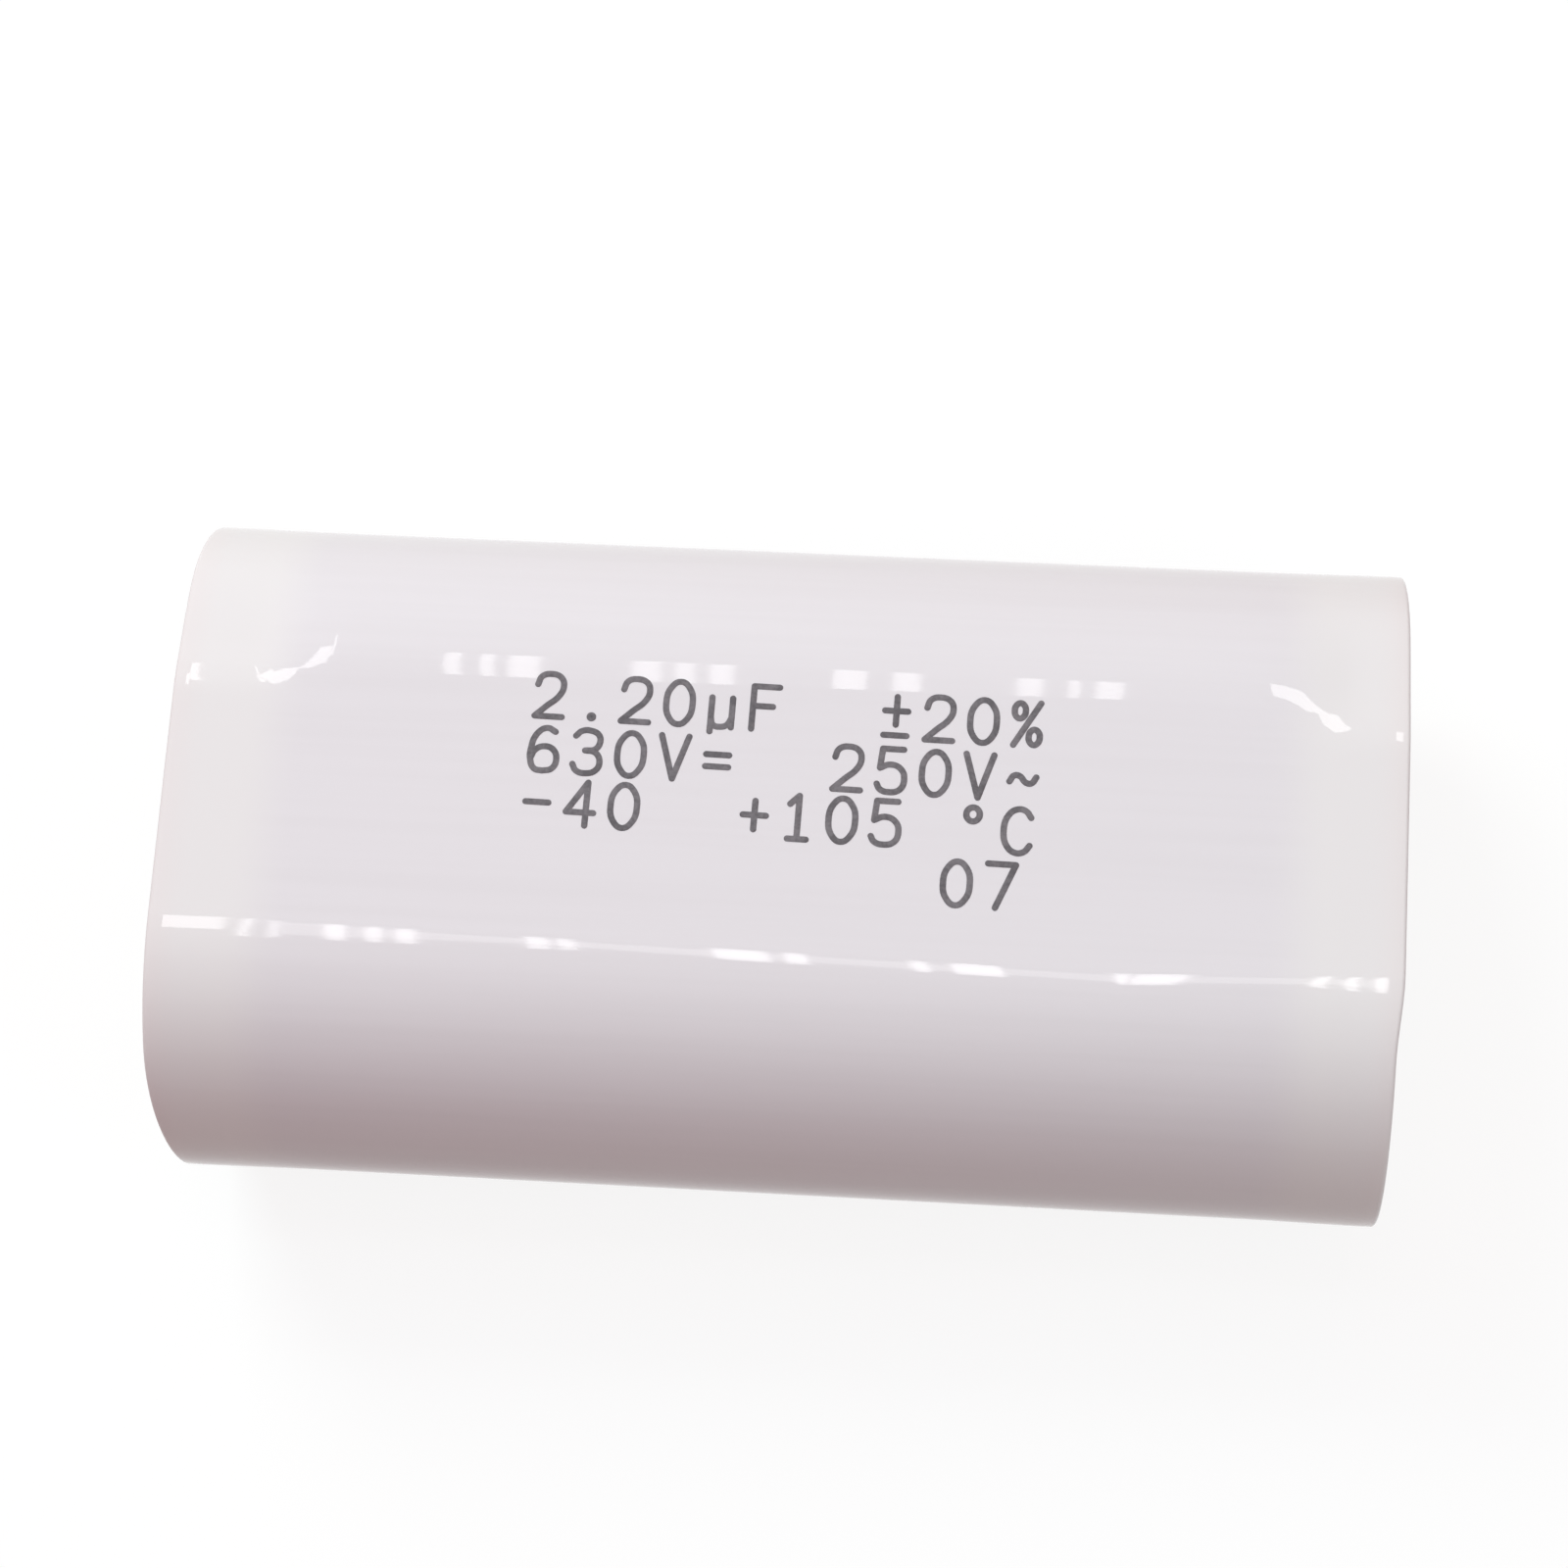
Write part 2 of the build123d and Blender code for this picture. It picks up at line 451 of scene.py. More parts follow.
@dataclass(frozen=True)
class TapeFilm:
    """Glossy white polyester film, lighter where no winding lies under it."""

    over_winding: Colour = (0.800, 0.760, 0.795)
    past_winding: Colour = (0.835, 0.800, 0.810)
    rim: Colour = (0.840, 0.780, 0.785)
    shade: Colour = (0.770, 0.730, 0.762)
    index: float = 1.53
    gloss: tuple[float, float] = (0.020, 0.032)
    # Clouds in the gloss: their number to a millimetre, and the share of fine ones
    clouds: tuple[float, float] = (0.12, 0.2)
    # Lines of the rolled film: their number to a millimetre along and across, and their depth
    lines: tuple[float, float] = (0.03, 1.6)
    line_depth: float = 0.0004
    # Heights between which a line takes on the shade, and how much of it
    line_span: tuple[float, float] = (0.35, 0.75)
    line_share: float = 0.5
    # Where the film leaves the winding and where its rim starts, each with the length of the change
    overhang: tuple[float, float] = (17.8, 2.4)
    rim_zone: tuple[float, float] = (21.6, 1.4)
    rim_share: float = 0.8

    def material(self, effects: Effects) -> bpy.types.Material:
        """Build the material.

        Args:
            effects: The shared node groups.

        Returns:
            The material.
        """
        finish = Finish("white polyester tape", effects, IOR=self.index)
        desk = finish.desk
        lines = finish.lines(*self.lines)
        shaded = desk.span(lines, *self.line_span, 0.0, self.line_share)
        film = desk.blend(shaded, self.over_winding, self.shade)
        film = desk.blend(finish.zone(*self.overhang), film, self.past_winding)
        rims = desk.math("MULTIPLY", finish.zone(*self.rim_zone), self.rim_share)
        finish.colour(desk.blend(rims, film, self.rim))
        finish.roughness(desk.span(finish.clouds(*self.clouds), 0.0, 1.0, *self.gloss))
        finish.bump(lines, self.line_depth)
        return finish.material


@dataclass(frozen=True)
class CastResin:
    """Pale cast resin with cloudy filler, pin holes with painted shade in them and a soft gloss."""

    pale: Colour = (0.74, 0.69, 0.60)
    deep: Colour = (0.685, 0.63, 0.535)
    gloss: tuple[float, float] = (0.14, 0.24)
    index: float = 1.54
    # How much light sinks in, and how deep
    haze: float = 0.15
    haze_depth: float = 0.6
    # Clouds of filler: their number to a millimetre, and the share of fine ones
    clouds: tuple[float, float] = (0.22, 0.3)
    # Pin holes: their number to a millimetre, and their inner and outer edge in shares of their spacing
    holes: float = 1.4
    hole_shares: tuple[float, float] = (0.05, 0.16)
    # Depth of the holes, and how high the clouds stand as a share of it
    depth: float = 0.02
    cloud_height: float = 0.4

    def material(self, effects: Effects) -> bpy.types.Material:
        """Build the material.

        Args:
            effects: The shared node groups.

        Returns:
            The material.
        """
        finish = Finish(
            "pale cast resin",
            effects,
            IOR=self.index,
            Subsurface_Weight=self.haze,
            Subsurface_Scale=self.haze_depth * MM,
        )
        desk = finish.desk
        clouds = finish.clouds(*self.clouds)
        spots = {"Vector": finish.place, "Scale": self.holes, "Randomness": 1.0}
        holes = desk.add("ShaderNodeTexVoronoi", spots)
        pits_and_hole_shade = desk.span(holes.outputs["Distance"], *self.hole_shares, 0.0, 1.0)
        body = desk.blend(clouds, self.deep, self.pale)
        # The pin holes are sunk by the bump and painted in the deep colour: painted shade in the holes.
        finish.colour(desk.blend(pits_and_hole_shade, self.deep, body))
        finish.roughness(desk.span(clouds, 0.0, 1.0, *self.gloss))
        relief = desk.math("ADD", pits_and_hole_shade, desk.math("MULTIPLY", clouds, self.cloud_height))
        finish.bump(relief, self.depth)
        return finish.material


@dataclass(frozen=True)
class TinnedWire:
    """Bright tinned copper wire, with drawing marks and copper showing on the cut."""

    tin: Colour = (0.78, 0.78, 0.76)
    dull: Colour = (0.60, 0.60, 0.59)
    copper: Colour = (0.80, 0.47, 0.33)
    # Drawing marks: their number to a millimetre along and across, their depth, and their roughness
    marks: tuple[float, float] = (0.25, 9.0)
    mark_depth: float = 0.006
    mark_span: tuple[float, float] = (0.3, 0.7)
    polish: tuple[float, float] = (0.2, 0.36)
    # Clouds in the tin: their number to a millimetre, and the share of fine ones
    clouds: tuple[float, float] = (1.5, 0.6)
    # The cut: its length, the length over which copper comes through, and how much of it, least and most
    cut_length: float = 0.28
    cut_change: float = 0.12
    bare_span: tuple[float, float] = (0.1, 0.7)
    bare_shares: tuple[float, float] = (0.35, 1.0)

    def material(self, effects: Effects) -> bpy.types.Material:
        """Build the material.

        Args:
            effects: The shared node groups.

        Returns:
            The material.
        """
        finish = Finish("tinned copper wire", effects, Metallic=1.0)
        desk = finish.desk
        marks = finish.lines(*self.marks)
        clouds = finish.clouds(*self.clouds)
        cut = finish.zone(HALF_LENGTH - self.cut_length, self.cut_change)
        coat = desk.blend(clouds, self.dull, self.tin)
        bare = desk.math("MULTIPLY", cut, desk.span(clouds, *self.bare_span, *self.bare_shares))
        finish.colour(desk.blend(bare, coat, self.copper))
        finish.roughness(desk.span(marks, *self.mark_span, *self.polish))
        finish.bump(marks, self.mark_depth)
        return finish.material


@dataclass(frozen=True)
class PrintedInk:
    """Thin dark grey printing ink, a little uneven where it was pressed on."""

    dense: Colour = (0.096, 0.086, 0.095)
    thin: Colour = (0.195, 0.178, 0.192)
    index: float = 1.45
    # Clouds in the ink: their number to a millimetre, and the share of fine ones
    clouds: tuple[float, float] = (1.1, 0.7)
    polish: tuple[float, float] = (0.42, 0.6)

    def material(self, effects: Effects) -> bpy.types.Material:
        """Build the material.

        Args:
            effects: The shared node groups.

        Returns:
            The material.
        """
        finish = Finish("dark grey ink", effects, IOR=self.index)
        clouds = finish.clouds(*self.clouds)
        finish.colour(finish.desk.blend(clouds, self.dense, self.thin))
        finish.roughness(finish.desk.span(clouds, 0.0, 1.0, *self.polish))
        return finish.material


@dataclass(frozen=True)
class MetallizedFilm:
    """Silvery film of the pressed winding."""

    bright: Colour = (0.66, 0.67, 0.69)
    dark: Colour = (0.50, 0.51, 0.54)
    metal_share: float = 0.7
    # Turns of the film: their number to a millimetre along and across, and their roughness
    turns: tuple[float, float] = (0.02, 6.0)
    turn_span: tuple[float, float] = (0.3, 0.7)
    polish: tuple[float, float] = (0.2, 0.35)
    depth: float = 0.01

    def material(self, effects: Effects) -> bpy.types.Material:
        """Build the material.

        Args:
            effects: The shared node groups.

        Returns:
            The material.
        """
        finish = Finish("metallized film", effects, Metallic=self.metal_share)
        turns = finish.lines(*self.turns)
        finish.colour(finish.desk.blend(turns, self.dark, self.bright))
        finish.roughness(finish.desk.span(turns, *self.turn_span, *self.polish))
        finish.bump(turns, self.depth)
        return finish.material


@dataclass(frozen=True)
class RoughMetal:
    """Grainy grey metal, such as the sprayed end layer or the solder on it."""

    name: str
    light: Colour
    dark: Colour
    # Grains: their number to a millimetre and the share of fine ones
    grains: tuple[float, float]
    depth: float
    polish: tuple[float, float]

    def material(self, effects: Effects) -> bpy.types.Material:
        """Build the material.

        Args:
            effects: The shared node groups.

        Returns:
            The material.
        """
        finish = Finish(self.name, effects, Metallic=1.0)
        grains = finish.clouds(*self.grains)
        finish.colour(finish.desk.blend(grains, self.dark, self.light))
        finish.roughness(finish.desk.span(grains, 0.0, 1.0, *self.polish))
        finish.bump(grains, self.depth)
        return finish.material


SPRAYED_ZINC = RoughMetal(
    "sprayed zinc",
    light=(0.56, 0.56, 0.55),
    dark=(0.42, 0.42, 0.41),
    grains=(2.5, 0.8),
    depth=0.06,
    polish=(0.5, 0.75),
)
SMOOTH_SOLDER = RoughMetal(
    "smooth solder",
    light=(0.72, 0.72, 0.71),
    dark=(0.60, 0.60, 0.60),
    grains=(0.8, 0.8),
    depth=0.01,
    polish=(0.22, 0.36),
)


@dataclass(frozen=True)
class Oval:
    """Flat oval section: two flats, two round sides, and a crease arc between each flat and side.

    Its points are measured from the middle of the body, back along the first axis and up along the second.
    """

    width: float
    thickness: float
    shoulder: float
    crease: float

    @property
    def half_flat(self) -> float:
        """Half the width of a flat."""
        return self.width / 2 - self.shoulder

    @property
    def side_radius(self) -> float:
        """Radius of the round side that touches the crease arcs and the full width."""
        half = self.thickness / 2
        return (self.shoulder**2 + half**2 - 2 * half * self.crease) / (2 * (self.shoulder - self.crease))

    @property
    def lean(self) -> float:
        """Angle that a crease arc turns through, in radians."""
        centre = self.width / 2 - self.side_radius
        return atan2(self.half_flat - centre, self.thickness / 2 - self.crease)

    def flat_point(self, back: float, top: int) -> tuple[Vector, Vector]:
        """Point and normal on a flat, by its place back from the middle."""
        return Vector((back, top * self.thickness / 2)), Vector((0, top))

    def crease_point(self, turn: float, back: int, top: int) -> tuple[Vector, Vector]:
        """Point on a crease arc.

        Args:
            turn: How far it lies from the flat, in radians.
            back: 1 for a crease at the back, -1 for one at the front.
            top: 1 for a crease at the top, -1 for one below.

        Returns:
            The point and its normal.
        """
        normal = Vector((back * sin(turn), top * cos(turn)))
        centre = Vector((back * self.half_flat, top * (self.thickness / 2 - self.crease)))
        return centre + normal * self.crease, normal

    def side_point(self, turn: float, back: int) -> tuple[Vector, Vector]:
        """Point on a round side.

        Args:
            turn: How far it lies from straight up, in radians.
            back: 1 for the back, -1 for the front.

        Returns:
            The point and its normal.
        """
        normal = Vector((back * sin(turn), cos(turn)))
        centre = Vector((back * (self.width / 2 - self.side_radius), 0))
        return centre + normal * self.side_radius, normal


class Stretch(Enum):
    """Stretches of the outline, in the order in which the last turn of tape runs from its free edge."""

    BACK_UPPER = 0
    CREASE_TOP_BACK = 1
    TOP_FLAT = 2
    CREASE_TOP_FRONT = 3
    FRONT = 4
    CREASE_LOW_FRONT = 5
    LOW_FLAT = 6
    CREASE_LOW_BACK = 7
    BACK_LOWER = 8


@dataclass
class TapeSleeve:
    """Wound tape sleeve, pressed flat over the winding and rounder past it, with a free tape edge."""

    # How far a flat stops short of the full width, and the radius of the crease arcs
    shoulder: float = 7.4
    crease: float = 5.0
    # How much wider the back and front halves of the flats are in the middle, and for each millimetre right
    back_half: tuple[float, float] = (-0.22, 0.007)
    front_half: tuple[float, float] = (0.0, 0.0137)
    # Where along X they narrow again, how many times as fast, and the crease that they leave at least
    turn_back: float = 13.0
    narrowing: float = 3.0
    least_crease: float = 0.02
    # How much wider the rims are, and where along X the sleeve starts and ends to widen
    rim_widening: float = 0.08
    relax_start: float = 17.6
    relax_end: float = 22.4
    # Wall, and the free edge of the last turn: how far it stands proud, and its turn from straight up
    wall: float = 0.5
    lap_rise: float = 0.08
    lap_turn: float = 125.0
    # Roundings of the cut ends
    outer_edge: float = 0.16
    inner_edge: float = 0.10
    # Waves of the tape, long and slow, then short and faint: height, length along X, width across
    waves: tuple[tuple[float, float, float], ...] = ((0.0022, 9.0, 3.5), (0.0004, 2.6, 1.4))
    # How far the tape sinks past the winding behind the upper flat, at the left and right end, and where
    sink_depth: tuple[float, float] = (0.29, 0.37)
    sink_start: tuple[float, float] = (16.6, 17.0)
    sink_end: tuple[float, float] = (19.7, 20.8)
    # Where across the body the slack begins at each end, then where it is deepest, rises again and is gone
    sink_from: tuple[float, float] = (3.8, 3.5)
    sink_across: tuple[float, float, float] = (6.2, 6.6, 10.0)
    # How far the cut stands back on the front, left and right, and the turns between which it grows
    front_trim: tuple[tuple[float, float, float], ...] = ((0.48, 38.0, 100.0), (0.21, 0.0, 25.0))
    # Where across the body the trim begins and is in full, towards the front
    trim_across: tuple[float, float] = (1.8, 4.8)
    # Rings: steps of each rounding, gap between rings outside, number of rings inside
    edge_steps: int = 4
    ring_gap: float = 0.45
    inner_rings: int = 16
    # Columns of each stretch, in the order of Stretch
    columns: tuple[int, ...] = (44, 8, 24, 8, 60, 8, 24, 8, 18)
    hard_angle: float = 40.0
    path: list[tuple[float, float]] = field(default_factory=list)

    def __post_init__(self) -> None:
        """Lay out the path that the rings follow."""
        self.path = self.ring_path()

    @property
    def last_column(self) -> int:
        """Number of the column at the foot of the step below the free edge."""
        return sum(self.columns)

    def ring_path(self) -> list[tuple[float, float]]:
        """Path of the rings as place along X and depth below the surface, once round the wall.

        Returns:
            The path, which ends where it starts.
        """
        quarter = [pi / 2 * step / self.edge_steps for step in range(self.edge_steps + 1)]
        end = HALF_LENGTH
        outer, inner = self.outer_edge, self.inner_edge
        right = [(end - outer * (1 - sin(turn)), outer * (1 - cos(turn))) for turn in quarter]
        right += [(end - inner * (1 - cos(turn)), self.wall - inner * (1 - sin(turn))) for turn in quarter]
        left = [(-place, depth) for place, depth in reversed(right)]
        gaps = ceil(2 * (end - outer) / self.ring_gap)
        outside = [((2 * step / gaps - 1) * (end - outer), 0.0) for step in range(1, gaps)]
        reach = end - inner
        rings = range(1, self.inner_rings)
        inside = [((1 - 2 * step / self.inner_rings) * reach, self.wall) for step in rings]
        return left + outside + right + inside + left[:1]

    def section(self, along: float, back: bool) -> Oval:
        """Section of the outside at a place along X.

        Args:
            along: The place.
            back: Whether the back half is asked for, and not the front half.

        Returns:
            The flat oval that has this half.
        """
        past = (abs(along) - self.relax_start) / (self.relax_end - self.relax_start)
        wider, taper = self.back_half if back else self.front_half
        right = min(along, self.turn_back) - self.narrowing * max(along - self.turn_back, 0.0)
        shoulder = min(self.shoulder - wider - taper * right, BODY_THICKNESS / 2 - self.least_crease)
        return Oval(BODY_WIDTH + self.rim_widening * ease(past), BODY_THICKNESS, shoulder, self.crease)

    def outline(self, along: float, column: int) -> tuple[Vector, Vector, float]:
        """Point of the outline by its column.

        Args:
            along: Place along X.
            column: Column, from the free edge round to the foot of the step below it.

        Returns:
            The point, its normal, and how far the last turn stands proud there.
        """
        lap = radians(self.lap_turn)
        rear, fore = self.section(along, True), self.section(along, False)
        left = column
        stretch = Stretch.BACK_LOWER
        for stretch in Stretch:
            if left <= self.columns[stretch.value]:
                break
            left -= self.columns[stretch.value]
        share = left / self.columns[stretch.value]
        if stretch is Stretch.BACK_UPPER:
            rise = self.lap_rise * ease(1 - share)
            return (*rear.side_point(lap + share * (rear.lean - lap), 1), rise)
        if stretch is Stretch.CREASE_TOP_BACK:
            return (*rear.crease_point(rear.lean * (1 - share), 1, 1), 0.0)
        if stretch is Stretch.TOP_FLAT:
            return (*rear.flat_point(rear.half_flat - share * (rear.half_flat + fore.half_flat), 1), 0.0)
        if stretch is Stretch.CREASE_TOP_FRONT:
            return (*fore.crease_point(fore.lean * share, -1, 1), 0.0)
        if stretch is Stretch.FRONT:
            return (*fore.side_point(fore.lean + share * (pi - 2 * fore.lean), -1), 0.0)
        if stretch is Stretch.CREASE_LOW_FRONT:
            return (*fore.crease_point(fore.lean * (1 - share), -1, -1), 0.0)
        if stretch is Stretch.LOW_FLAT:
            return (*rear.flat_point(share * (rear.half_flat + fore.half_flat) - fore.half_flat, -1), 0.0)
        if stretch is Stretch.CREASE_LOW_BACK:
            return (*rear.crease_point(rear.lean * share, 1, -1), 0.0)
        return (*rear.side_point(pi - rear.lean + share * (lap - pi + rear.lean), 1), 0.0)

    def unevenness(self, point: Vector) -> float:
        """Waves of the tape, and its slack past the winding.

        Args:
            point: A point of the even surface.

        Returns:
            How far the tape lies below it.
        """
        side = int(point.x > 0)
        sunk = 0.0
        for height, length, width in self.waves:
            sunk += height * (1 + noise.noise(Vector((point.x / length, point.y / width, point.z / width))))
        if point.z < MIDDLE_HEIGHT:
            return sunk
        start = self.sink_start[side]
        past = min(max((abs(point.x) - start) / (self.sink_end[side] - start), 0.0), 1.0) ** 2
        begin = self.sink_from[side]
        deep, rising, end = self.sink_across
        slack = ease((point.y - begin) / (deep - begin)) * (1 - ease((point.y - rising) / (end - rising)))
        return sunk + self.sink_depth[side] * past * slack

    def trimmed(self, point: Vector) -> float:
        """Trim of an end that was not cut square.

        Args:
            point: A point of the sleeve.

        Returns:
            How far the tape is drawn back there.
        """
        depth, start, full = self.front_trim[int(point.x > 0)]
        begin, end = self.trim_across
        turn = degrees(atan2(max(-point.y - end, 0.0), point.z - MIDDLE_HEIGHT))
        past = max(abs(point.x) - self.relax_start, 0.0) / (HALF_LENGTH - self.relax_start)
        down = ease((turn - start) / (full - start))
        return depth * past * down * ease((-point.y - begin) / (end - begin))

    def place(self, step: int, column: int) -> Vector:
        """Place of a ring's column.

        Args:
            step: Step along the path.
            column: Column round the outline, where the one past the last is the free edge again.

        Returns:
            The place in millimetres.
        """
        along, depth = self.path[step]
        spot, normal, rise = self.outline(along, 0 if column > self.last_column else column)
        point = Vector((along, spot.x, spot.y + MIDDLE_HEIGHT))
        lower = depth
        if depth < self.wall:
            lower += self.unevenness(point) - rise
        point -= Vector((0, normal.x, normal.y)) * lower
        point.x -= copysign(self.trimmed(point), along)
        return point

    def build(self, material: bpy.types.Material) -> bpy.types.Object:
        """Roll the sleeve and dress it.

        Args:
            material: Its finish.

        Returns:
            The finished sleeve.
        """
        along = len(self.path) - 1
        around = self.last_column + 1
        sleeve = rolled_sheet("tape_sleeve", along, around)
        roll(sleeve, along, around, self.place)
        smooth(sleeve, self.hard_angle)
        fit_out(sleeve, "wrap_tape", material, "outer_wrap")
        return sleeve


@dataclass
class ResinEnd:
    """Cast resin plug: dished in the middle, climbing the tape at its edge and the wire at its centre."""

    sleeve: TapeSleeve
    # How far the dish lies in from the rim, and the room left at the sprayed metal and round the solder
    recess: float = 1.2
    seat_gap: float = 0.06
    # How far the resin reaches into the tape and into the wire, where it holds on to them
    tape_bond: float = 0.03
    wire_bond: float = 0.01
    # Climb at the tape and at the wire: height, width, and how fast it falls off over that width
    edge_climb: float = 0.55
    edge_width: float = 0.75
    edge_fall: float = 1.9
    collar_climb: float = 0.38
    collar_width: float = 0.42
    collar_fall: float = 1.6
    # Swell of the surface: height, length, and the place in the noise that sets the two ends apart
    swell: float = 0.05
    swell_length: float = 4.5
    swell_place: float = 3.7
    # Rings of the dish, and how much closer they stand at the tape and at the wire
    dish_rings: int = 34
    crowding: float = 0.12
    hard_angle: float = 40.0

    @property
    def surface(self) -> float:
        """Place along X of the dish, as a distance from the middle of the body."""
        return HALF_LENGTH - self.recess

    @property
    def steps(self) -> int:
        """Number of steps round the plug: the dish, the wall, the wire's hole and the bottom."""
        return self.dish_rings + 3

    def wall_point(self, along: float, column: int) -> Vector:
        """Point of the bond with the sleeve's inner wall, by its place along X and the sleeve's column."""
        spot, normal, _ = self.sleeve.outline(along, column)
        return spot - normal * (self.sleeve.wall - self.tape_bond)

    def dish_height(self, spot: Vector, from_wall: float, end: End) -> float:
        """Height of the resin's surface at a spot.

        Args:
            spot: Spot back and up from the lead's axis.
            from_wall: Distance to the sleeve's wall.
            end: Which end, for its own unevenness.

        Returns:
            The place along X, as a distance from the middle of the body.
        """
        from_wire = max(spot.length - LEAD_RADIUS + self.wire_bond, 0.0)
        edge = self.edge_climb * exp(-from_wall / self.edge_width * self.edge_fall)
        collar = self.collar_climb * exp(-from_wire / self.collar_width * self.collar_fall)
        seed = Vector((spot.x / self.swell_length, spot.y / self.swell_length, self.swell_place * end.hand))
        return self.surface + edge + collar + self.swell * noise.noise(seed)

    def place(self, end: End, step: int, column: int) -> Vector:
        """Place of a ring's column: up the wall, over the dish, down the wire's hole and back.

        Args:
            end: Which end of the body it is for.
            step: Step along that path.
            column: The sleeve's column.

        Returns:
            The place in millimetres.
        """
        ring = step % self.steps
        column %= self.sleeve.last_column
        wall = self.wall_point(end.hand * (self.surface + self.edge_climb), column)
        outward = wall.normalized()
        along = FILL_BOTTOM + self.seat_gap
        if ring == 0:
            spot = self.wall_point(end.hand * along, column)
        elif ring <= self.dish_rings + 1:
            share = (ring - 1) / self.dish_rings
            share -= self.crowding * sin(2 * pi * share) / (2 * pi)
            spot = wall.lerp(outward * (LEAD_RADIUS - self.wire_bond), share)
            along = self.dish_height(spot, (wall - spot).length, end)
        else:
            spot = outward * (SOLDER_RADIUS + self.seat_gap)
        return Vector((end.hand * along, spot.x, spot.y + MIDDLE_HEIGHT))

    def build(self, end: End, material: bpy.types.Material) -> bpy.types.Object:
        """Roll the plug for one end and dress it.

        Args:
            end: Which end of the body it is for.
            material: Its finish.

        Returns:
            The finished plug.
        """
        around = self.sleeve.last_column
        plug = rolled_sheet(end.named("resin_end"), self.steps, around)
        roll(plug, self.steps, around, partial(self.place, end))
        smooth(plug, self.hard_angle)
        fit_out(plug, "end_resin", material, end.named("end_fill"))
        return plug


@dataclass
class CroppedLead:
    """Round wire with a foot pressed flat inside the resin and an outer end pinched off by cutters."""

    # Rings from the foot to the cut: distance in from the cut, half width and half height
    rings: tuple[tuple[float, float, float], ...] = (
        (4.48, 0.84, 0.28),
        (4.40, 0.90, 0.315),
        (2.4, 0.90, 0.315),
        (1.6, 0.64, 0.56),
        (1.3, 0.60, 0.60),
        (0.8, 0.60, 0.60),
        (0.38, 0.60, 0.60),
        (0.32, 0.605, 0.585),
        (0.26, 0.61, 0.54),
        (0.14, 0.615, 0.36),
        (0.05, 0.60, 0.17),
        (0.015, 0.58, 0.07),
        (0.0, 0.50, 0.02),
    )
    around: int = 40
    hard_angle: float = 32.0

    def build(self, end: End, material: bpy.types.Material) -> bpy.types.Object:
        """Draw the wire out from its foot, ring by ring, and dress it.

        Args:
            end: Which end of the body it is for.
            material: Its finish.

        Returns:
            The finished wire.
        """
        axis = Vector((0, 0, MIDDLE_HEIGHT)) * MM
        inward, wide, high = self.rings[0]
        foot = end.hand * (LEAD_HIGH.x - inward) * MM
        deselect_all()
        bpy.ops.mesh.primitive_circle_add(
            vertices=self.around,
            radius=MM,
            fill_type="NGON",
            location=axis + Vector((foot, 0, 0)),
            rotation=(0, pi / 2, 0),
        )
        wire = settle(end.named("wire"))
        bpy.ops.object.mode_set(mode="EDIT")
        bpy.ops.transform.resize(value=(1, wide, high), center_override=axis)
        for last, ring in zip(self.rings, self.rings[1:]):
            drawn = end.hand * (last[0] - ring[0]) * MM
            bpy.ops.mesh.extrude_region_move(TRANSFORM_OT_translate={"value": (drawn, 0, 0)})
            pressed = (1, ring[1] / last[1], ring[2] / last[2])
            bpy.ops.transform.resize(value=pressed, center_override=axis)
        bpy.ops.mesh.select_all(action="SELECT")
        bpy.ops.mesh.normals_make_consistent(inside=False)
        bpy.ops.object.mode_set(mode="OBJECT")
        smooth(wire, self.hard_angle)
        fit_out(wire, "tinned_wire", material, end.named("lead"))
        return wire


@dataclass(frozen=True)
class Stroke:
    """One pen stroke of a sign, by points as shares of the sign's width and height."""

    shares: tuple[tuple[float, float], ...]
    smooth: bool = False
    closed: bool = False


# Points that a closed oval stroke runs through
LOOP_POINTS = 8


def line(*shares: tuple[float, float]) -> Stroke:
    """Straight stroke through points."""
    return Stroke(shares)


def bow(*shares: tuple[float, float]) -> Stroke:
    """Curved stroke through points."""
    return Stroke(shares, smooth=True)


def loop(across: float, up: float, half_width: float, half_height: float) -> Stroke:
    """Closed oval stroke.

    Args:
        across: Where its centre lies across the sign.
        up: Where its centre lies up the sign.
        half_width: Half its width.
        half_height: Half its height.

    Returns:
        The stroke.
    """
    turns = [2 * pi * step / LOOP_POINTS for step in range(LOOP_POINTS)]
    points = tuple((across + half_width * sin(turn), up + half_height * cos(turn)) for turn in turns)
    return Stroke(points, smooth=True, closed=True)


